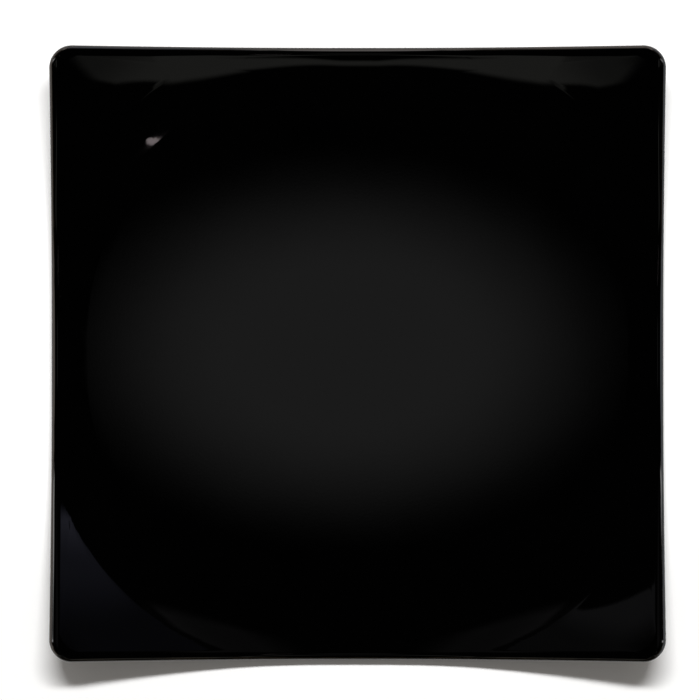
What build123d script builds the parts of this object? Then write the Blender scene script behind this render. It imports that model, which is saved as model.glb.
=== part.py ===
from build123d import *
from math import cos, radians, tan
import os

# Square dinner plate of black glazed stoneware, in millimetres. It stands on its foot
# ring on the plane Z = 0, with +Z up and the origin under the middle of the well.

# Plan of the plate
side = 267.0
corner_radius = 9.2

# Section: a flat well, a sweep that turns upwards, and a straight flare to the corners.
# The well is nearly round: four wide arcs joined by a short straight run on each side.
wall = 3.8
well_straight = 16.0
well_corner = 112.0
sweep_radius = 60.0
flare_angle = 21.0

# Lip: its roundings above and below, and the width of the band seen from above
lip_round = 2.1
lip_under_round = 1.0
lip_band = 1.4

# Glaze coat, and the bond line that keeps it clear of the clay
glaze = 0.4
bond = 0.1

# Foot ring, set into a shallow seat in the clay
foot_side = 156.0
foot_corner = 30.0
foot_width = 6.0
foot_height = 1.0
foot_seat = 0.6
foot_round = 0.6

# Places that follow from those sizes
well_height = foot_height + wall
well_side = well_straight + 2 * well_corner
clay_inset = glaze + bond
clay_underside = foot_height + clay_inset
foot_inside = foot_side - 2 * foot_width
foot_inside_corner = foot_corner - foot_width
lip_inside = side - 2 * lip_band
lip_inside_corner = corner_radius - lip_band
cutter_height = side / 2

# The lip's roundings are held to the height of the plate's edge where it is least: at
# the corners, where the flare makes the upper edge sharp and the lower one blunt.
edge_height = wall / cos(radians(flare_angle))
upper_reach = tan(radians(45 + flare_angle / 2))
under_reach = tan(radians(45 - flare_angle / 2))
edge_kept_flat = 0.05
under_rounding = min(lip_under_round, edge_height / 4)
edge_left = (1 - edge_kept_flat) * edge_height - under_rounding * under_reach
upper_rounding = min(lip_round, edge_left / upper_reach)


def upright(face):
    return abs(face.normal_at().Z) < 0.01


def faces_up(face):
    return face.normal_at().Z > 0.5


def faces_down(face):
    return face.normal_at().Z < -0.5


def rounded_square(width, radius):
    """A square with rounded corners, on the plane of the sketch that it is drawn in."""
    RectangleRounded(width, width, radius)


def foot_outline():
    """The foot ring seen from below, on the plane of the sketch that it is drawn in."""
    RectangleRounded(foot_side, foot_side, foot_corner)
    RectangleRounded(foot_inside, foot_inside, foot_inside_corner, mode=Mode.SUBTRACT)


def space_above(depth):
    """All that lies over the plate's face, or over a surface parallel to it at a depth."""
    turn = sweep_radius + depth
    spread = turn * tan(radians(flare_angle / 2))
    with BuildPart() as space:
        with BuildSketch(Plane.XY.offset(well_height - depth)):
            rounded_square(well_side + 2 * spread, well_corner + spread)
        extrude(amount=cutter_height, taper=flare_angle - 90)
        fillet(space.edges().group_by(Axis.Z)[0], turn)
    return space.part


def plate_form(coat):
    """The plate without its foot, taken in by the thickness of a coat on every side."""
    over_face = space_above(coat)
    over_underside = space_above(wall - coat)
    with BuildPart() as form:
        with BuildSketch():
            rounded_square(side - 2 * coat, corner_radius - coat)
        extrude(amount=cutter_height)
        add(over_underside, mode=Mode.INTERSECT)
        add(over_face, mode=Mode.SUBTRACT)
        edge = form.faces().filter_by(upright).edges()
        fillet(edge & form.faces().filter_by(faces_up).edges(), upper_rounding - coat)
        edge = form.faces().filter_by(upright).edges()
        fillet(edge & form.faces().filter_by(faces_down).edges(), under_rounding - coat)
    return form.part


glazed_form = plate_form(0)
coat_inside = plate_form(glaze)
clay_form = plate_form(clay_inset)

# Foot ring: bare clay, with the two edges that meet the table rounded off
with BuildPart() as foot_ring:
    with BuildSketch():
        foot_outline()
    extrude(amount=clay_underside + foot_seat)
    fillet(foot_ring.edges().group_by(Axis.Z)[0], min(foot_round, foot_width / 4))

# Clay body: the fired slab under the glaze, with the seat that the foot ring sits in
with BuildPart() as clay_body:
    add(clay_form)
    with BuildSketch(Plane.XY.offset(clay_underside)):
        foot_outline()
    extrude(amount=foot_seat, mode=Mode.SUBTRACT)

# The whole coat, before it is divided
with BuildPart() as coat:
    add(glazed_form)
    add(coat_inside, mode=Mode.SUBTRACT)

# Lip glaze: the band round the edge where the coat breaks thin
with BuildPart() as lip_glaze:
    add(coat.part)
    with BuildSketch():
        rounded_square(lip_inside, lip_inside_corner)
    extrude(amount=cutter_height, mode=Mode.SUBTRACT)

# Inside that band the coat is one sheet below the clay and one over it.
with BuildPart() as sheets:
    add(coat.part)
    with BuildSketch():
        rounded_square(lip_inside, lip_inside_corner)
    extrude(amount=cutter_height, mode=Mode.INTERSECT)
under_sheet, face_sheet = sheets.solids().sort_by(Axis.Z)

# Face glaze: the coat over the well and the flare
with BuildPart() as face_glaze:
    add(face_sheet)

# Under glaze: the coat below the plate, up to the outside of the foot ring
with BuildPart() as under_glaze:
    add(under_sheet)
    with BuildSketch():
        rounded_square(foot_side, foot_corner)
    extrude(amount=cutter_height, mode=Mode.SUBTRACT)

# Base glaze: the coat inside the foot ring
with BuildPart() as base_glaze:
    add(under_sheet)
    with BuildSketch():
        rounded_square(foot_inside, foot_inside_corner)
    extrude(amount=cutter_height, mode=Mode.INTERSECT)

clay_body.part.label = "clay_body"
foot_ring.part.label = "foot_ring"
face_glaze.part.label = "face_glaze"
lip_glaze.part.label = "lip_glaze"
under_glaze.part.label = "under_glaze"
base_glaze.part.label = "base_glaze"

os.makedirs("parts", exist_ok=True)
export_step(clay_body.part, "parts/clay_body.step")
export_step(foot_ring.part, "parts/foot_ring.step")
export_step(face_glaze.part, "parts/face_glaze.step")
export_step(lip_glaze.part, "parts/lip_glaze.step")
export_step(under_glaze.part, "parts/under_glaze.step")
export_step(base_glaze.part, "parts/base_glaze.step")
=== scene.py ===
import bpy
from math import atan, pi, radians
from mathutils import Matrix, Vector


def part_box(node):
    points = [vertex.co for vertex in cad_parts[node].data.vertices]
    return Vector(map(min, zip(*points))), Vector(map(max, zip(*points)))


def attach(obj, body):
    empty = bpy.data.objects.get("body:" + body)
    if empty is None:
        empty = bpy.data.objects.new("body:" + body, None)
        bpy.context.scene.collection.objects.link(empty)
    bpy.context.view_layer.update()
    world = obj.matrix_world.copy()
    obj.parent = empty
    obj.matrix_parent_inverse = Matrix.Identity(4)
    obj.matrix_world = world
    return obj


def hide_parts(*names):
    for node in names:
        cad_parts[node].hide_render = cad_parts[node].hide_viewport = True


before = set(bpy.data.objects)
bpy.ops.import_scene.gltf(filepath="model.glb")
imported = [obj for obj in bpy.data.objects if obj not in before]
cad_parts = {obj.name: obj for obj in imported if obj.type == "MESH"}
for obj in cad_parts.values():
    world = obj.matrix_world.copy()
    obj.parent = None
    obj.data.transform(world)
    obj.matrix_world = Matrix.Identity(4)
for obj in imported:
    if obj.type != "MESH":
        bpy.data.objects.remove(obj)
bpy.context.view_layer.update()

# A square dinner plate in black gloss stoneware, seen from straight above on a white
# table. Lengths are in metres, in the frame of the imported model.
MM = 0.001

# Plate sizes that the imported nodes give
lip_low, lip_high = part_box("lip_glaze")
foot_low, foot_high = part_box("foot_ring")
base_low, base_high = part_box("base_glaze")
SIDE = lip_high.x - lip_low.x
FOOT_SIDE = foot_high.x - foot_low.x
FOOT_INSIDE = base_high.x - base_low.x
FOOT_WIDTH = (FOOT_SIDE - FOOT_INSIDE) / 2
FOOT_HEIGHT = base_low.z
COAT = base_high.z - base_low.z

# Plate sizes that no node's box shows. The corners are a little rounder than the packed
# ones, and so stay inside them. The lip is rounded over a width and a drop: its width grows
# by the reach times the slope of the face that meets it.
CORNER = 10.0 * MM
WALL = 3.8 * MM
WELL_STRAIGHT = 16 * MM
WELL_CORNER = 112 * MM
WELL_SIDE = WELL_STRAIGHT + 2 * WELL_CORNER
SWEEP_RADIUS = 60 * MM
FLARE = radians(21)
LIP_WIDTH = 2.1 * MM
LIP_REACH = 6.0 * MM
LIP_DROP = 2.4 * MM
UNDER_ROUND = 0.9 * MM
FOOT_CORNER = 30 * MM
WELL_HEIGHT = FOOT_HEIGHT + WALL

# Stations along the plate's section, from the middle of the well over the lip and back
# under to the middle of the base
WELL_CENTRE = 0.0
WELL_EDGE = 1.0
LIP_CROWN = 2.0
EDGE_TOP = 3.0
EDGE_BOTTOM = 4.0
UNDER_LIP = 5.0
UNDER_WELL = 6.0
FOOT_OUTLINE = 7.0
BASE_CENTRE = 8.0
EDGE_MIDDLE = (EDGE_TOP + EDGE_BOTTOM) / 2

# Stations where the lip's own coat begins and ends
LIP_START = 2.47
LIP_END = 5.06


def colour(red, green, blue):
    return (red, green, blue, 1.0)


BLACK = colour(0.0, 0.0, 0.0)
WHITE = colour(1.0, 1.0, 1.0)


# Node trees written as sums

class Term:
    """A socket of a node tree, which plain Python sums can be written on."""

    def __init__(self, tree, socket):
        self.tree = tree
        self.socket = socket

    def maths(self, operation, *terms):
        return self.tree.node("ShaderNodeMath", {"operation": operation}, dict(enumerate(terms)))

    def __add__(self, other):
        return self.maths("ADD", self, other)

    def __sub__(self, other):
        return self.maths("SUBTRACT", self, other)

    def __rsub__(self, other):
        return self.maths("SUBTRACT", other, self)

    def __mul__(self, other):
        return self.maths("MULTIPLY", self, other)

    def __truediv__(self, other):
        return self.maths("DIVIDE", self, other)

    def __rtruediv__(self, other):
        return self.maths("DIVIDE", other, self)

    def __pow__(self, other):
        return self.maths("POWER", self, other)

    def __mod__(self, other):
        return self.maths("FLOORED_MODULO", self, other)

    def __neg__(self):
        return self.maths("MULTIPLY", self, -1.0)

    def __abs__(self):
        return self.maths("ABSOLUTE", self)

    def __lt__(self, other):
        return self.maths("LESS_THAN", self, other)

    def __gt__(self, other):
        return self.maths("GREATER_THAN", self, other)

    __radd__ = __add__
    __rmul__ = __mul__

    def at_least(self, other):
        return self.maths("MAXIMUM", self, other)

    def at_most(self, other):
        return self.maths("MINIMUM", self, other)

    def within(self, low, high):
        return self.at_least(low).at_most(high)

    def root(self):
        return self.maths("SQRT", self)

    def sign(self):
        return self.maths("SIGN", self)

    def sine(self):
        return self.maths("SINE", self)

    def cosine(self):
        return self.maths("COSINE", self)

    def tangent(self):
        return self.maths("TANGENT", self)

    def whole(self):
        return self.maths("FLOOR", self)

    def angle(self, across):
        """The angle round to a point, from its Y and its X."""
        return self.maths("ARCTAN2", self, across)

    def toward(self, other, share):
        return self + (other - self) * share

    def step(self, start, end, low=0.0, high=1.0):
        """Goes smoothly from low to high while this goes from start to end."""
        sockets = {"Value": self, "From Min": start, "From Max": end, "To Min": low, "To Max": high}
        return self.tree.node("ShaderNodeMapRange", {"interpolation_type": "SMOOTHSTEP"}, sockets)


class Tree:
    """Adds nodes to a node tree and links them."""

    def __init__(self, tree):
        self.tree = tree

    def node(self, kind, settings=None, sockets=None, out=0):
        """Adds a node and gives one of its outputs, or a list of them for a list of names."""
        made = self.tree.nodes.new(kind)
        for name, value in (settings or {}).items():
            setattr(made, name, value)
        for name, value in (sockets or {}).items():
            if isinstance(value, Term):
                self.tree.links.new(value.socket, made.inputs[name])
            else:
                made.inputs[name].default_value = value
        if isinstance(out, list):
            return [Term(self, made.outputs[name]) for name in out]
        return Term(self, made.outputs[out]) if len(made.outputs) else None

    def parts(self, vector):
        """The X, Y and Z of a vector."""
        return self.node("ShaderNodeSeparateXYZ", None, {"Vector": vector}, ["X", "Y", "Z"])

    def vector(self, x, y, z):
        return self.node("ShaderNodeCombineXYZ", None, {"X": x, "Y": y, "Z": z})


# Plate coats, made by Geometry Nodes

PLATE_SIZES = {
    "Side": SIDE,
    "Corner": CORNER,
    "Wall": WALL,
    "Well Side": WELL_SIDE,
    "Well Corner": WELL_CORNER,
    "Well Height": WELL_HEIGHT,
    "Sweep Radius": SWEEP_RADIUS,
    "Flare": FLARE,
    "Lip Width": LIP_WIDTH,
    "Lip Reach": LIP_REACH,
    "Lip Drop": LIP_DROP,
    "Under Round": UNDER_ROUND,
    "Foot Side": FOOT_SIDE,
    "Foot Corner": FOOT_CORNER,
    "Coat": COAT,
}
COAT_INPUTS = {
    "Start": "NodeSocketFloat",
    "End": "NodeSocketFloat",
    "Rings": "NodeSocketInt",
    "Around": "NodeSocketInt",
    "Joined": "NodeSocketInt",
    "Turned": "NodeSocketBool",
    "Finish": "NodeSocketMaterial",
}
COAT_DEFAULTS = {"Around": 480, "Joined": 0, "Turned": True}
STRAIGHT_SHARE = 0.55
MERGE_DISTANCE = 1e-6
SHARP_ANGLE = radians(40)


def square_point(turn, half, radius):
    """The point of a rounded square at a turn, where each of its four sides counts as 1."""
    side = (turn + 0.5).whole()
    place = (turn - side) * 2.0
    reach = abs(place)
    run = (reach / STRAIGHT_SHARE).at_most(1.0) * (half - radius)
    bend = ((reach - STRAIGHT_SHARE) / (1 - STRAIGHT_SHARE)).at_least(0.0) * (pi / 4)
    along = (run + radius * bend.sine()) * place.sign()
    out = half - radius + radius * bend.cosine()
    angle = side * (pi / 2)
    x = out * angle.cosine() - along * angle.sine()
    y = out * angle.sine() + along * angle.cosine()
    return x, y


def past_square(x, y, half, radius):
    """How far a point lies outside a rounded square, and 0 within it."""
    beyond_x = (abs(x) - (half - radius)).at_least(0.0)
    beyond_y = (abs(y) - (half - radius)).at_least(0.0)
    return ((beyond_x * beyond_x + beyond_y * beyond_y).root() - radius).at_least(0.0)


def coat_tree():
    """A closed shell of glaze along a stretch of the plate's section, taken round the square."""
    group = bpy.data.node_groups.new("glaze_coat", "GeometryNodeTree")
    kinds = {name: "NodeSocketFloat" for name in PLATE_SIZES}
    kinds.update(COAT_INPUTS)
    for name, kind in kinds.items():
        group.interface.new_socket(name, in_out="INPUT", socket_type=kind)
    group.interface.new_socket("Mesh", in_out="OUTPUT", socket_type="NodeSocketGeometry")
    tree = Tree(group)
    size = dict(zip(kinds, tree.node("NodeGroupInput", None, None, list(kinds))))

    # A plain tube holds the places: its turn goes round the square, its height counts rings.
    # The first half of the rings runs along the outside of the coat, the rest back inside it.
    bands = size["Rings"] * 2 - 1 + size["Joined"]
    tube = tree.node("GeometryNodeMeshCylinder", {"fill_type": "NONE"},
                     {"Vertices": size["Around"], "Side Segments": bands, "Radius": 1.0, "Depth": bands})
    place_x, place_y, place_z = tree.parts(tree.node("GeometryNodeInputPosition"))
    turn = place_y.angle(place_x) / (pi / 2)
    ring = (place_z + bands / 2 + 0.5).whole() % (size["Rings"] * 2)
    inner = ring > size["Rings"] - 0.5
    count = ring - inner * size["Rings"]
    run = count / (size["Rings"] - 1)
    share = run.toward(1 - run, inner)
    station = size["Start"].toward(size["End"], share)
    depth = size["Coat"] * inner

    def gone_from(start):
        """0 up to a station, and 1 from the next one on."""
        return (station - start).within(0.0, 1.0)

    # The lip is rounded over a wider band where the face meets it more steeply.
    half = size["Side"] / 2
    well_half = size["Well Side"] / 2
    edge_x, edge_y = square_point(turn, half, size["Corner"])
    edge_past = past_square(edge_x, edge_y, well_half, size["Well Corner"])
    edge_slope = (edge_past / size["Sweep Radius"]).at_most(size["Flare"].sine())
    lip_width = size["Lip Width"] + size["Lip Reach"] * edge_slope - depth
    lip_drop = size["Lip Drop"] - depth
    under = size["Under Round"] - depth
    lip_angle = gone_from(LIP_CROWN) * (pi / 2)
    under_angle = gone_from(EDGE_BOTTOM) * (pi / 2)
    lip_inset = lip_width * (1 - lip_angle.sine())
    under_inset = under * (1 - under_angle.cosine())
    inset = lip_inset.toward(under_inset, station > EDGE_MIDDLE)

    # Half side and corner radius of the square that a ring follows
    to_lip = gone_from(WELL_EDGE)
    from_lip = gone_from(UNDER_LIP)
    to_foot = gone_from(UNDER_WELL)
    shrink = gone_from(WELL_CENTRE) * (BASE_CENTRE - station).within(0.0, 1.0)

    def ring_size(well, edge, foot):
        return well.toward(edge, to_lip).toward(well, from_lip).toward(foot, to_foot) * shrink

    ring_half = ring_size(well_half, half - depth - inset, size["Foot Side"] / 2)
    ring_corner = ring_size(size["Well Corner"], size["Corner"] - depth - inset, size["Foot Corner"])
    x, y = square_point(turn, ring_half, ring_corner)

    # Heights of the face and of the underside, which is parallel to it
    past = past_square(x, y, well_half, size["Well Corner"])

    def height(level):
        """The height of a surface that lies a level below the face and parallel to it."""
        sweep = size["Sweep Radius"] + level
        swept = past.at_most(sweep * size["Flare"].sine())
        rise = size["Sweep Radius"] - (sweep * sweep - swept * swept).root()
        return size["Well Height"] + rise + (past - swept) * size["Flare"].tangent()

    face = height(depth) - lip_drop * (1 - lip_angle.cosine())
    underside = height(size["Wall"] - depth) + under * (1 - under_angle.sine())
    z = face.toward(underside, gone_from(EDGE_TOP))

    shell = tree.node("GeometryNodeSetPosition", None,
                      {"Geometry": tube, "Position": tree.vector(x, y, z)})
    shell = tree.node("GeometryNodeMergeByDistance", None, {"Geometry": shell, "Distance": MERGE_DISTANCE})
    shell = tree.node("GeometryNodeFlipFaces", None, {"Mesh": shell, "Selection": size["Turned"]})
    shell = tree.node("GeometryNodeRealizeInstances", None, {"Geometry": shell})
    shell = tree.node("GeometryNodeSetMaterial", None, {"Geometry": shell, "Material": size["Finish"]})
    tree.node("NodeGroupOutput", None, {"Mesh": shell})
    return group


def coat_piece(name, group, finish, **inputs):
    """A coat as a plain mesh, with its place in the mesh."""
    holder = bpy.data.objects.new(name + "_tree", bpy.data.meshes.new(name + "_tree"))
    bpy.context.scene.collection.objects.link(holder)
    modifier = holder.modifiers.new("coat", "NODES")
    modifier.node_group = group
    values = dict(PLATE_SIZES)
    values.update(COAT_DEFAULTS)
    values.update(inputs)
    values["Finish"] = finish
    for socket in group.interface.items_tree:
        if socket.in_out == "INPUT":
            modifier[socket.identifier] = values[socket.name]
    depsgraph = bpy.context.evaluated_depsgraph_get()
    mesh = bpy.data.meshes.new_from_object(holder.evaluated_get(depsgraph))
    holder.modifiers.remove(modifier)
    bpy.data.objects.remove(holder)
    mesh.name = name
    mesh.shade_smooth()
    mesh.set_sharp_from_angle(angle=SHARP_ANGLE)
    piece = bpy.data.objects.new(name, mesh)
    bpy.context.scene.collection.objects.link(piece)
    return piece


# Finishes

# Places of the colour sockets on a Mix node
MIX_FIRST = 6
MIX_SECOND = 7
MIX_RESULT = 2


def new_finish(name, **constants):
    """A material with one Principled shader, and the tree to add to."""
    finish = bpy.data.materials.new(name)
    finish.use_nodes = True
    shader = finish.node_tree.nodes["Principled BSDF"]
    for socket, value in constants.items():
        shader.inputs[socket.replace("_", " ")].default_value = value
    tree = Tree(finish.node_tree)
    place = tree.node("ShaderNodeTexCoord", None, None, "Object")
    return finish, tree, place, shader


def feed(tree, shader, **terms):
    """Links terms to the shader's sockets of the same names."""
    for socket, term in terms.items():
        tree.tree.links.new(term.socket, shader.inputs[socket.replace("_", " ")])


def noise(tree, place, size, detail=2.0, rough=0.5):
    """Cloudy noise from 0 to 1, whose patches are about this large."""
    sockets = {"Vector": place, "Scale": 1 / size, "Detail": detail, "Roughness": rough}
    return tree.node("ShaderNodeTexNoise", None, sockets)


def dots(tree, place, spacing, radius, share=1.0):
    """Round dots in a share of the cells of a scattered pattern, 1 in the middle and 0 outside."""
    sockets = {"Vector": place, "Scale": 1 / spacing}
    distance = tree.node("ShaderNodeTexVoronoi", None, sockets)
    lot = tree.parts(tree.node("ShaderNodeTexVoronoi", None, sockets, "Color"))[0]
    return distance.step(radius / spacing, 0.0) * (share > lot)


def mixed(tree, share, first, second, blend="MIX"):
    """A colour between two, or with ADD the first one with a share of the second added."""
    settings = {"data_type": "RGBA", "blend_type": blend}
    sockets = {"Factor": share, MIX_FIRST: first, MIX_SECOND: second}
    return tree.node("ShaderNodeMix", settings, sockets, MIX_RESULT)


def bumped(tree, height):
    """A normal from heights in metres."""
    return tree.node("ShaderNodeBump", None, {"Strength": 1.0, "Distance": 1.0, "Height": height})


# What all the glaze has: faint orange peel, and long waves
GLAZE_IOR = 1.52
PEEL_SIZE = 1.0 * MM
PEEL_HEIGHT = 0.0004 * MM
WAVE_SIZE = 30 * MM
WAVE_HEIGHT = 0.004 * MM


def glaze_heights(tree, place):
    """The unevenness of a coat that ran smooth in the kiln."""
    peel = noise(tree, place, PEEL_SIZE, detail=1.0)
    waves = noise(tree, place, WAVE_SIZE, detail=0.0)
    return peel * PEEL_HEIGHT + waves * WAVE_HEIGHT


# The well's dish, which shows only in what the face mirrors
DISH_RADIUS = 2500 * MM
DISH_EDGE = 120 * MM
DISH_FADE = 20 * MM
DISH_SLOPE = DISH_EDGE / DISH_RADIUS


def dish_heights(tree, place):
    """A wide round dish that meets the sweep and fades out on it."""
    x, y = tree.parts(place)[:2]
    far = (x * x + y * y).root()
    inside = far.at_most(DISH_EDGE)
    past = (far - DISH_EDGE).within(0.0, DISH_FADE)
    return inside * inside / (2 * DISH_RADIUS) + (past - past * past / (2 * DISH_FADE)) * DISH_SLOPE


# Face: black gloss in two near tones, with a few paler specks
FACE_CLOUD = 22 * MM
FACE_GRAIN = 0.6 * MM
FACE_DARK = colour(0.0002, 0.0002, 0.0002)
FACE_LIGHT = colour(0.0004, 0.0004, 0.0004)
SPECK = colour(0.02, 0.018, 0.016)
SPECK_SPACING = 34 * MM
SPECK_RADIUS = 0.5 * MM
SPECK_SHARE = 0.2
FACE_ROUGHNESS = 0.010
FACE_CLOUD_ROUGHNESS = 0.006
FACE_GRAIN_ROUGHNESS = 0.004


def black_gloss():
    finish, tree, place, shader = new_finish("black_glaze", IOR=GLAZE_IOR)
    clouds = noise(tree, place, FACE_CLOUD, detail=3.0)
    grain = noise(tree, place, FACE_GRAIN, detail=2.0, rough=0.7)
    specks = dots(tree, place, SPECK_SPACING, SPECK_RADIUS, SPECK_SHARE)
    base = mixed(tree, clouds, FACE_DARK, FACE_LIGHT)
    base = mixed(tree, specks, base, SPECK)
    roughness = FACE_ROUGHNESS + FACE_CLOUD_ROUGHNESS * clouds + FACE_GRAIN_ROUGHNESS * grain
    heights = dish_heights(tree, place) + glaze_heights(tree, place)
    feed(tree, shader, Base_Color=base, Roughness=roughness, Normal=bumped(tree, heights))
    return finish


# Lip: the coat breaks thin there and turns a warm dark brown
LIP_RUN = 9 * MM
LIP_GRAIN = 0.6 * MM
LIP_RUN_SHARE = 0.7
LIP_BREAK = (0.4, 0.62)
LIP_DARK = colour(0.003, 0.0026, 0.002)
LIP_BROWN = colour(0.009, 0.007, 0.005)
LIP_ROUGHNESS = 0.08
LIP_GRAIN_ROUGHNESS = 0.08


def thin_lip():
    finish, tree, place, shader = new_finish("lip_glaze", IOR=GLAZE_IOR)
    runs = noise(tree, place, LIP_RUN, detail=4.0)
    grain = noise(tree, place, LIP_GRAIN, detail=2.0)
    broken = (runs * LIP_RUN_SHARE + grain * (1 - LIP_RUN_SHARE)).step(*LIP_BREAK)
    base = mixed(tree, broken, LIP_DARK, LIP_BROWN)
    roughness = LIP_ROUGHNESS + LIP_GRAIN_ROUGHNESS * grain
    heights = glaze_heights(tree, place)
    feed(tree, shader, Base_Color=base, Roughness=roughness, Normal=bumped(tree, heights))
    return finish


# Underside and base: the same gloss with pinholes, and pale grains stuck in the coat
UNDER_CLOUD = 18 * MM
UNDER_DARK = colour(0.0008, 0.0008, 0.0009)
UNDER_LIGHT = colour(0.0020, 0.0017, 0.0015)
PIT_SPACING = 9 * MM
PIT_RADIUS = 0.35 * MM
PIT_DEPTH = 0.06 * MM
STUCK_GRAIN = colour(0.05, 0.04, 0.03)
STUCK_GRAIN_SPACING = 13 * MM
STUCK_GRAIN_RADIUS = 0.3 * MM
STUCK_GRAIN_HEIGHT = 0.03 * MM
UNDER_ROUGHNESS = 0.06
UNDER_CLOUD_ROUGHNESS = 0.06
PIT_ROUGHNESS = 0.3


def under_gloss():
    finish, tree, place, shader = new_finish("under_glaze", IOR=GLAZE_IOR)
    clouds = noise(tree, place, UNDER_CLOUD, detail=3.0)
    pits = dots(tree, place, PIT_SPACING, PIT_RADIUS)
    grains = dots(tree, place, STUCK_GRAIN_SPACING, STUCK_GRAIN_RADIUS)
    base = mixed(tree, clouds, UNDER_DARK, UNDER_LIGHT)
    base = mixed(tree, grains, base, STUCK_GRAIN)
    roughness = UNDER_ROUGHNESS + UNDER_CLOUD_ROUGHNESS * clouds + PIT_ROUGHNESS * pits
    heights = glaze_heights(tree, place) - pits * PIT_DEPTH + grains * STUCK_GRAIN_HEIGHT
    feed(tree, shader, Base_Color=base, Roughness=roughness, Normal=bumped(tree, heights))
    return finish


# Bare clay: cloudy buff, dark iron specks and a fine grit
CLAY_IOR = 1.5
CLAY_CLOUD = 7 * MM
CLAY_CLOUD_SHARE = 0.7
CLAY_CLOUD_HEIGHT = 0.05 * MM
GRIT_SIZE = 0.5 * MM
GRIT_HEIGHT = 0.08 * MM
IRON_SPACING = 2.6 * MM
IRON_RADIUS = 0.28 * MM
IRON_COVER = 0.8
IRON_DEPTH = 0.05 * MM
CLAY_ROUGHNESS = 0.72
GRIT_ROUGHNESS = 0.2


def bare_clay(name, light, dark, iron):
    """Fired stoneware without glaze, in a light and a dark tone, with specks of iron."""
    finish, tree, place, shader = new_finish(name, IOR=CLAY_IOR)
    clouds = noise(tree, place, CLAY_CLOUD, detail=4.0)
    grit = noise(tree, place, GRIT_SIZE, detail=3.0, rough=0.7)
    specks = dots(tree, place, IRON_SPACING, IRON_RADIUS)
    tone = clouds * CLAY_CLOUD_SHARE + grit * (1 - CLAY_CLOUD_SHARE)
    base = mixed(tree, tone, dark, light)
    base = mixed(tree, specks * IRON_COVER, base, iron)
    roughness = CLAY_ROUGHNESS + GRIT_ROUGHNESS * grit
    heights = grit * GRIT_HEIGHT + clouds * CLAY_CLOUD_HEIGHT - specks * IRON_DEPTH
    feed(tree, shader, Base_Color=base, Roughness=roughness, Normal=bumped(tree, heights))
    return finish


# Face, lip, underside and base of the glaze

glaze_coat = coat_tree()
face_finish = black_gloss()
lip_finish = thin_lip()
under_finish = under_gloss()
BASE_OUTLINE = {"Foot Side": FOOT_INSIDE, "Foot Corner": FOOT_CORNER - FOOT_WIDTH}

plate_face = coat_piece("plate_face", glaze_coat, face_finish,
                        Start=WELL_CENTRE, End=LIP_START, Rings=64)
plate_lip = coat_piece("plate_lip", glaze_coat, lip_finish,
                       Start=LIP_START, End=LIP_END, Rings=56, Joined=1)
plate_underside = coat_piece("plate_underside", glaze_coat, under_finish,
                             Start=LIP_END, End=FOOT_OUTLINE, Rings=40, Joined=1)
plate_base = coat_piece("plate_base", glaze_coat, under_finish,
                        Start=BASE_CENTRE, End=FOOT_OUTLINE, Rings=10, Turned=False, **BASE_OUTLINE)

for piece, node, slot in ((plate_face, "face_glaze", "black_glaze"),
                          (plate_lip, "lip_glaze", "lip_glaze"),
                          (plate_underside, "under_glaze", "under_glaze"),
                          (plate_base, "base_glaze", "under_glaze")):
    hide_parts(node)
    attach(piece, "root")

# The clay body and the bare foot keep their own solids.
clay_finish = bare_clay("stoneware", light=colour(0.46, 0.39, 0.30), dark=colour(0.36, 0.29, 0.22),
                        iron=colour(0.10, 0.07, 0.05))
foot_finish = bare_clay("bare_foot", light=colour(0.50, 0.42, 0.32), dark=colour(0.38, 0.30, 0.22),
                        iron=colour(0.09, 0.06, 0.04))
for node, finish in (("clay_body", clay_finish), ("foot_ring", foot_finish)):
    for material_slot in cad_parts[node].material_slots:
        material_slot.material = finish


# White table

# A soft edge is given as two places: where it starts and where it is complete. Painted light:
# the table glows white behind the shadow and in front of it, which hides the faint shade
# beside the plate there, and by a share of that glow in between.
TABLE_HALF = 8.0
TABLE_LIFT = 0.12
TABLE_ROUGHNESS = 0.9
PAPER_GRAIN = 4 * MM
PAPER_DARK = colour(0.935, 0.935, 0.935)
PAPER_LIGHT = colour(0.945, 0.945, 0.945)
SHADOW_REAR = (-0.11, -0.05)
SHADOW_FRONT = (-0.152, -0.17)
SHADOW_LIFT = 0.2


def flat_sheet(name, low, high, height, finish):
    """A level rectangle of the stage, from its low corner to its high one."""
    corners = [(low[0], low[1], height), (high[0], low[1], height),
               (high[0], high[1], height), (low[0], high[1], height)]
    mesh = bpy.data.meshes.new(name)
    mesh.from_pydata(corners, [], [(0, 1, 2, 3)])
    mesh.materials.append(finish)
    sheet = bpy.data.objects.new(name, mesh)
    bpy.context.scene.collection.objects.link(sheet)
    return sheet


def light_path(tree, *kinds):
    """1 on rays of these kinds and 0 on others."""
    first, *others = tree.node("ShaderNodeLightPath", None, None, list(kinds))
    for other in others:
        first = first.at_least(other)
    return first


def table_white():
    """White paper with painted light: it glows a little lighter outside the shadow than the lamps make it.
    """
    finish, tree, place, shader = new_finish("table_white", Roughness=TABLE_ROUGHNESS,
                                             Specular_IOR_Level=0.0, Emission_Strength=TABLE_LIFT)
    paper = noise(tree, place, PAPER_GRAIN, detail=2.0)
    base = mixed(tree, paper, PAPER_DARK, PAPER_LIGHT)
    shown = light_path(tree, "Is Camera Ray", "Is Glossy Ray", "Is Transmission Ray")
    y = tree.parts(place)[1]
    # Painted light: the glow is full outside the shadow's rows and only a share of it within them.
    outside = y.step(*SHADOW_REAR, SHADOW_LIFT, 1.0).at_least(y.step(*SHADOW_FRONT))
    painted_glow = mixed(tree, shown * outside, BLACK, WHITE)
    feed(tree, shader, Base_Color=base, Emission_Color=painted_glow)
    return finish


flat_sheet("table", (-TABLE_HALF, -TABLE_HALF), (TABLE_HALF, TABLE_HALF), 0.0, table_white())


# Cards and a hoop over the plate, which only reflections show

def glossy_card(name, low, high, height, finish):
    """A card that is seen only as a reflection."""
    card = flat_sheet(name, low, high, height, finish)
    card.visible_camera = False
    card.visible_diffuse = False
    card.visible_transmission = False
    card.visible_volume_scatter = False
    card.visible_shadow = False


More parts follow.
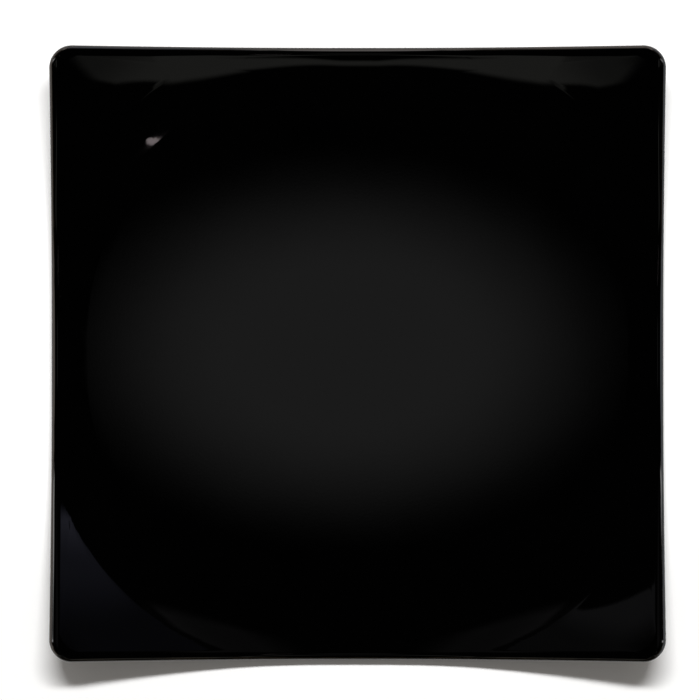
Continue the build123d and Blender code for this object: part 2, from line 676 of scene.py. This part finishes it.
# White cards out on both sides, which light a stretch of the left and of the right lip
CARD_HEIGHT = 0.6
CARD_NEAR = 0.3
CARD_FAR = 0.6
CARD_FRONT = 0.04
CARD_REAR = 0.22
CARD_LIGHT = colour(5.0, 5.0, 5.0)
CARD_NEAR_EDGE = (0.31, 0.36)
LEFT_FRONT_EDGE = (0.06, 0.11)
LEFT_REAR_EDGE = (0.175, 0.135)
RIGHT_FRONT_EDGE = (0.05, 0.08)
RIGHT_REAR_EDGE = (0.14, 0.11)


def card_glow(name, front_edge, rear_edge):
    """Light that fades out at the front, the rear and the near edge of a card."""
    finish, tree, place, shader = new_finish(name, Base_Color=BLACK, Emission_Strength=1.0,
                                             Specular_IOR_Level=0.0)
    x, y = tree.parts(place)[:2]
    level = abs(x).step(*CARD_NEAR_EDGE) * y.step(*front_edge) * y.step(*rear_edge)
    feed(tree, shader, Emission_Color=mixed(tree, level, BLACK, CARD_LIGHT))
    return finish


glossy_card("left_card", (-CARD_FAR, CARD_FRONT), (-CARD_NEAR, CARD_REAR), CARD_HEIGHT,
            card_glow("left_card", LEFT_FRONT_EDGE, LEFT_REAR_EDGE))
glossy_card("right_card", (CARD_NEAR, CARD_FRONT), (CARD_FAR, CARD_REAR), CARD_HEIGHT,
            card_glow("right_card", RIGHT_FRONT_EDGE, RIGHT_REAR_EDGE))

# Black hoop, which keeps the walls out of the inner part of the flare
HOOP_HEIGHT = 0.6
HOOP_HALF = 0.36
HOOP_RIM = (0.356, 0.348)

# Its rear: cloth that lets a share of the light through, and more of it towards the sides,
# with a black flap across each corner
CLOTH_START = (0.21, 0.24)
CLOTH_SIDE_START = (0.09, 0.12)
CLOTH_SIDE = (0.12, 0.16)
RIGHT_CLEAR = 0.10
RIGHT_THIN = (0.19, 0.25)
RIGHT_THIN_CLEAR = 0.25
RIGHT_THINNER = (0.245, 0.29)
RIGHT_THINNER_CLEAR = 0.6
RIGHT_FLAP = (0.396, 0.404)
RIGHT_FLAP_SLANT = 0.796
LEFT_CLEAR = 0.13
LEFT_THIN = (0.172, 0.202)
LEFT_THIN_CLEAR = 0.16
LEFT_FLAP = (0.283, 0.292)
LEFT_FLAP_SLANT = 0.39

# Its front: a flap on each side, which leans in past a bend, and a strip between the two
FRONT_FLAP = (0.192, 0.197)
FRONT_FLAP_START = (0.08, 0.12)
FRONT_FLAP_BEND = 0.22
FRONT_FLAP_SLANT = 0.42
STRIP_SIDE = (0.048, 0.040)
STRIP_START = (0.145, 0.155)
STRIP_END = (0.26, 0.25)


def hoop_black():
    """Black flaps at the corners of an opening, cloth across its rear and a strip in front."""
    finish, tree, place, shader = new_finish("hoop_black", Base_Color=BLACK, Specular_IOR_Level=0.0)
    x, y = tree.parts(place)[:2]
    aside = abs(x)
    ahead = -y
    far = (x * x + y * y).root()

    right_clear = (RIGHT_CLEAR + RIGHT_THIN_CLEAR * x.step(*RIGHT_THIN)
                   + RIGHT_THINNER_CLEAR * x.step(*RIGHT_THINNER))
    right_cloth = (x + y * RIGHT_FLAP_SLANT).step(*RIGHT_FLAP).at_least(1 - right_clear)
    left_clear = LEFT_CLEAR + LEFT_THIN_CLEAR * aside.step(*LEFT_THIN)
    left_cloth = (aside + y * LEFT_FLAP_SLANT).step(*LEFT_FLAP).at_least(1 - left_clear)
    reach = (y.step(*CLOTH_SIDE_START) * aside.step(*CLOTH_SIDE)).at_least(y.step(*CLOTH_START))
    rear = left_cloth.toward(right_cloth, x > 0.0) * reach

    lean = (ahead - FRONT_FLAP_BEND).at_least(0.0) * FRONT_FLAP_SLANT
    flaps = (aside + lean).step(*FRONT_FLAP) * ahead.step(*FRONT_FLAP_START)
    strip = aside.step(*STRIP_SIDE) * ahead.step(*STRIP_START) * ahead.step(*STRIP_END)

    cover = rear.at_least(flaps).at_least(strip)
    feed(tree, shader, Alpha=cover * far.step(*HOOP_RIM))
    return finish


glossy_card("hoop", (-HOOP_HALF, -HOOP_HALF), (HOOP_HALF, HOOP_HALF), HOOP_HEIGHT, hoop_black())


# Studio: a dark room with dim walls that the glaze mirrors, and a pale horizon

# A direction is given by how far it goes right and back while it rises by one.
LEAST_RISE = 0.02
LEAST_ASIDE = 0.01
FILL = colour(0.17, 0.16, 0.148)

# Glow on the ceiling, mirrored by the well: wider than deep
CEILING_GLOW = colour(0.235, 0.235, 0.235)
GLOW_RIGHT = 0.0033
GLOW_BACK = -0.0015
GLOW_HALF_WIDTH = 0.040
GLOW_HALF_DEPTH = 0.027
GLOW_EDGE = (1.0, 0.36)

# Front wall, mirrored by the far side of the plate: a stripe over the sweep, and all that the
# flare shows between its two corners. It ends farther out, and the more so towards the sides.
FRONT_WALL = colour(0.215, 0.215, 0.20)
STRIPE_EDGE = (0.170, 0.222)
FLARE_EDGE = (0.746, 0.758)
FLARE_FULL_EDGE = (0.760, 0.777)
FLARE_CORNER = (1.0, 1.08)
FRONT_END = (0.275, 0.235)
FRONT_END_SLANT = 1.42

# Rear wall, mirrored by the near side: none in the middle, and brighter towards the sides
REAR_WALL = colour(0.10, 0.097, 0.10)
REAR_EDGE = (0.12, 0.19)
REAR_SLANT = 0.85
REAR_MIDDLE = (0.03, 0.12)
REAR_BRIGHTER = (0.15, 0.6)
REAR_DIM = 0.4

# Windows at the rear, mirrored by the near corners of the flare: the right one is cooler
WINDOW = colour(0.296, 0.294, 0.31)
COOL_WINDOW = colour(0.285, 0.29, 0.40)
WINDOW_EDGE = (0.744, 0.757)
WINDOW_SIDE = (0.46, 0.54)

# Horizon, pale all round except in front. It reaches up towards the sides and, as a skylight,
# towards the rear, where only the lip mirrors it.
WARM_HORIZON = colour(1.45, 1.3, 1.2)
COOL_HORIZON = colour(1.0, 1.1, 1.2)
COOLER = (-0.2, 0.5)
HORIZON_TOP = (0.70, 0.64)
AHEAD_EDGE = (0.18, 0.24)
AHEAD_SLANT = 0.95
HORIZON_SIDE = (0.60, 0.68)
HORIZON_SIDE_SLANT = 1.65
SKYLIGHT = colour(1.9, 1.75, 1.7)
SKYLIGHT_EDGE = (0.48, 0.60)
SKYLIGHT_SLANT = 1.65
SKYLIGHT_FOOT = (0.66, 0.74)


def studio():
    """The room that mirrored rays see, a plain fill for the rest, and white for the camera."""
    world = bpy.data.worlds.new("studio")
    bpy.context.scene.world = world
    world.use_nodes = True
    world.node_tree.nodes.clear()
    tree = Tree(world.node_tree)
    x, y, z = tree.parts(tree.node("ShaderNodeTexCoord", None, None, "Generated"))
    up = z.at_least(LEAST_RISE)
    right = x / up
    back = y / up
    aside = abs(right)
    tilt = (right * right + back * back).root()
    bearing = back / aside.at_least(LEAST_ASIDE)

    glow_x = (right - GLOW_RIGHT) / GLOW_HALF_WIDTH
    glow_y = (back - GLOW_BACK) / GLOW_HALF_DEPTH
    glow = (glow_x ** 2 + glow_y ** 2).root().step(*GLOW_EDGE)

    stripe = (-back - aside).step(*STRIPE_EDGE)
    flare = (tilt.step(*FLARE_EDGE) + tilt.step(*FLARE_FULL_EDGE)) / 2
    front = stripe.at_least(flare * (-bearing).step(*FLARE_CORNER))
    front = front * (-back - aside * FRONT_END_SLANT).step(*FRONT_END)

    rear = (back - aside * REAR_SLANT).step(*REAR_EDGE) * aside.step(*REAR_MIDDLE)
    rear = rear * aside.step(*REAR_BRIGHTER, REAR_DIM, 1.0)
    window = tilt.step(*WINDOW_EDGE) * bearing.step(*WINDOW_SIDE)
    daylight = mixed(tree, right > 0.0, WINDOW, COOL_WINDOW)

    in_front = (-back - aside * AHEAD_SLANT).step(*AHEAD_EDGE)
    horizon = z.step(*HORIZON_TOP) * (1 - in_front)
    horizon = horizon.at_least((aside - abs(back) * HORIZON_SIDE_SLANT).step(*HORIZON_SIDE))
    skylight = (back - aside * SKYLIGHT_SLANT).step(*SKYLIGHT_EDGE) * z.step(*SKYLIGHT_FOOT)
    pale = mixed(tree, x.step(*COOLER), WARM_HORIZON, COOL_HORIZON)

    mirrored = mixed(tree, glow, BLACK, CEILING_GLOW)
    mirrored = mixed(tree, front, mirrored, FRONT_WALL, "ADD")
    mirrored = mixed(tree, rear, mirrored, REAR_WALL, "ADD")
    mirrored = mixed(tree, window, mirrored, daylight)
    mirrored = mixed(tree, horizon, mirrored, pale)
    mirrored = mixed(tree, skylight, mirrored, SKYLIGHT)

    shown = mixed(tree, light_path(tree, "Is Glossy Ray"), FILL, mirrored)
    shown = mixed(tree, light_path(tree, "Is Camera Ray", "Is Transmission Ray"), shown, WHITE)
    sky = tree.node("ShaderNodeBackground", None, {"Color": shown, "Strength": 1.0})
    tree.node("ShaderNodeOutputWorld", None, {"Surface": sky})


studio()


# Lamps: a key from the back with weak wide wings, and a narrow one that makes the highlight

KEY_HEIGHT = 4.0
KEY_LEAN = 0.58
KEY_PLACE = (0.22, KEY_LEAN * KEY_HEIGHT, KEY_HEIGHT)
KEY_SIZE = (2.7, 0.44)
KEY_POWER = 232.0
WINGS_SIZE = (7.0, 0.44)
WINGS_POWER = 22.0
GLINT_PLACE = (0.170, -0.1745, 2.0)
GLINT_TURN = radians(-44.8)
GLINT_SIZE = (0.234, 0.008)
GLINT_POWER = 0.0150
GLINT_TINT = (1.0, 0.86, 0.88)


def lamp(name, place, tilt, turn, size, power, tint=(1.0, 1.0, 1.0), shape="RECTANGLE"):
    """A lamp that shines down, leaned over about X and then turned about Z."""
    light = bpy.data.lights.new(name, "AREA")
    light.shape = shape
    light.size, light.size_y = size
    light.energy = power
    light.color = tint
    holder = bpy.data.objects.new(name, light)
    bpy.context.scene.collection.objects.link(holder)
    holder.location = place
    holder.rotation_euler = (tilt, 0.0, turn)
    holder.visible_camera = False
    return holder


for name, size, power in (("key", KEY_SIZE, KEY_POWER), ("wings", WINGS_SIZE, WINGS_POWER)):
    wide_lamp = lamp(name, KEY_PLACE, -atan(KEY_LEAN), 0.0, size, power)
    wide_lamp.visible_glossy = False
lamp("glint", GLINT_PLACE, 0.0, GLINT_TURN, GLINT_SIZE, GLINT_POWER, GLINT_TINT, "ELLIPSE")


# Camera straight above the plate

CAMERA_PLACE = (-3.3 * MM, 1.6 * MM, 2.0)
SENSOR = 36.0
LENS = 235.2
CLIP_END = 50.0

camera_lens = bpy.data.cameras.new("camera")
camera_lens.sensor_width = SENSOR
camera_lens.lens = LENS
camera_lens.clip_end = CLIP_END
camera = bpy.data.objects.new("camera", camera_lens)
camera.location = CAMERA_PLACE
bpy.context.scene.collection.objects.link(camera)
bpy.context.scene.camera = camera
bpy.context.scene.view_settings.view_transform = "Standard"
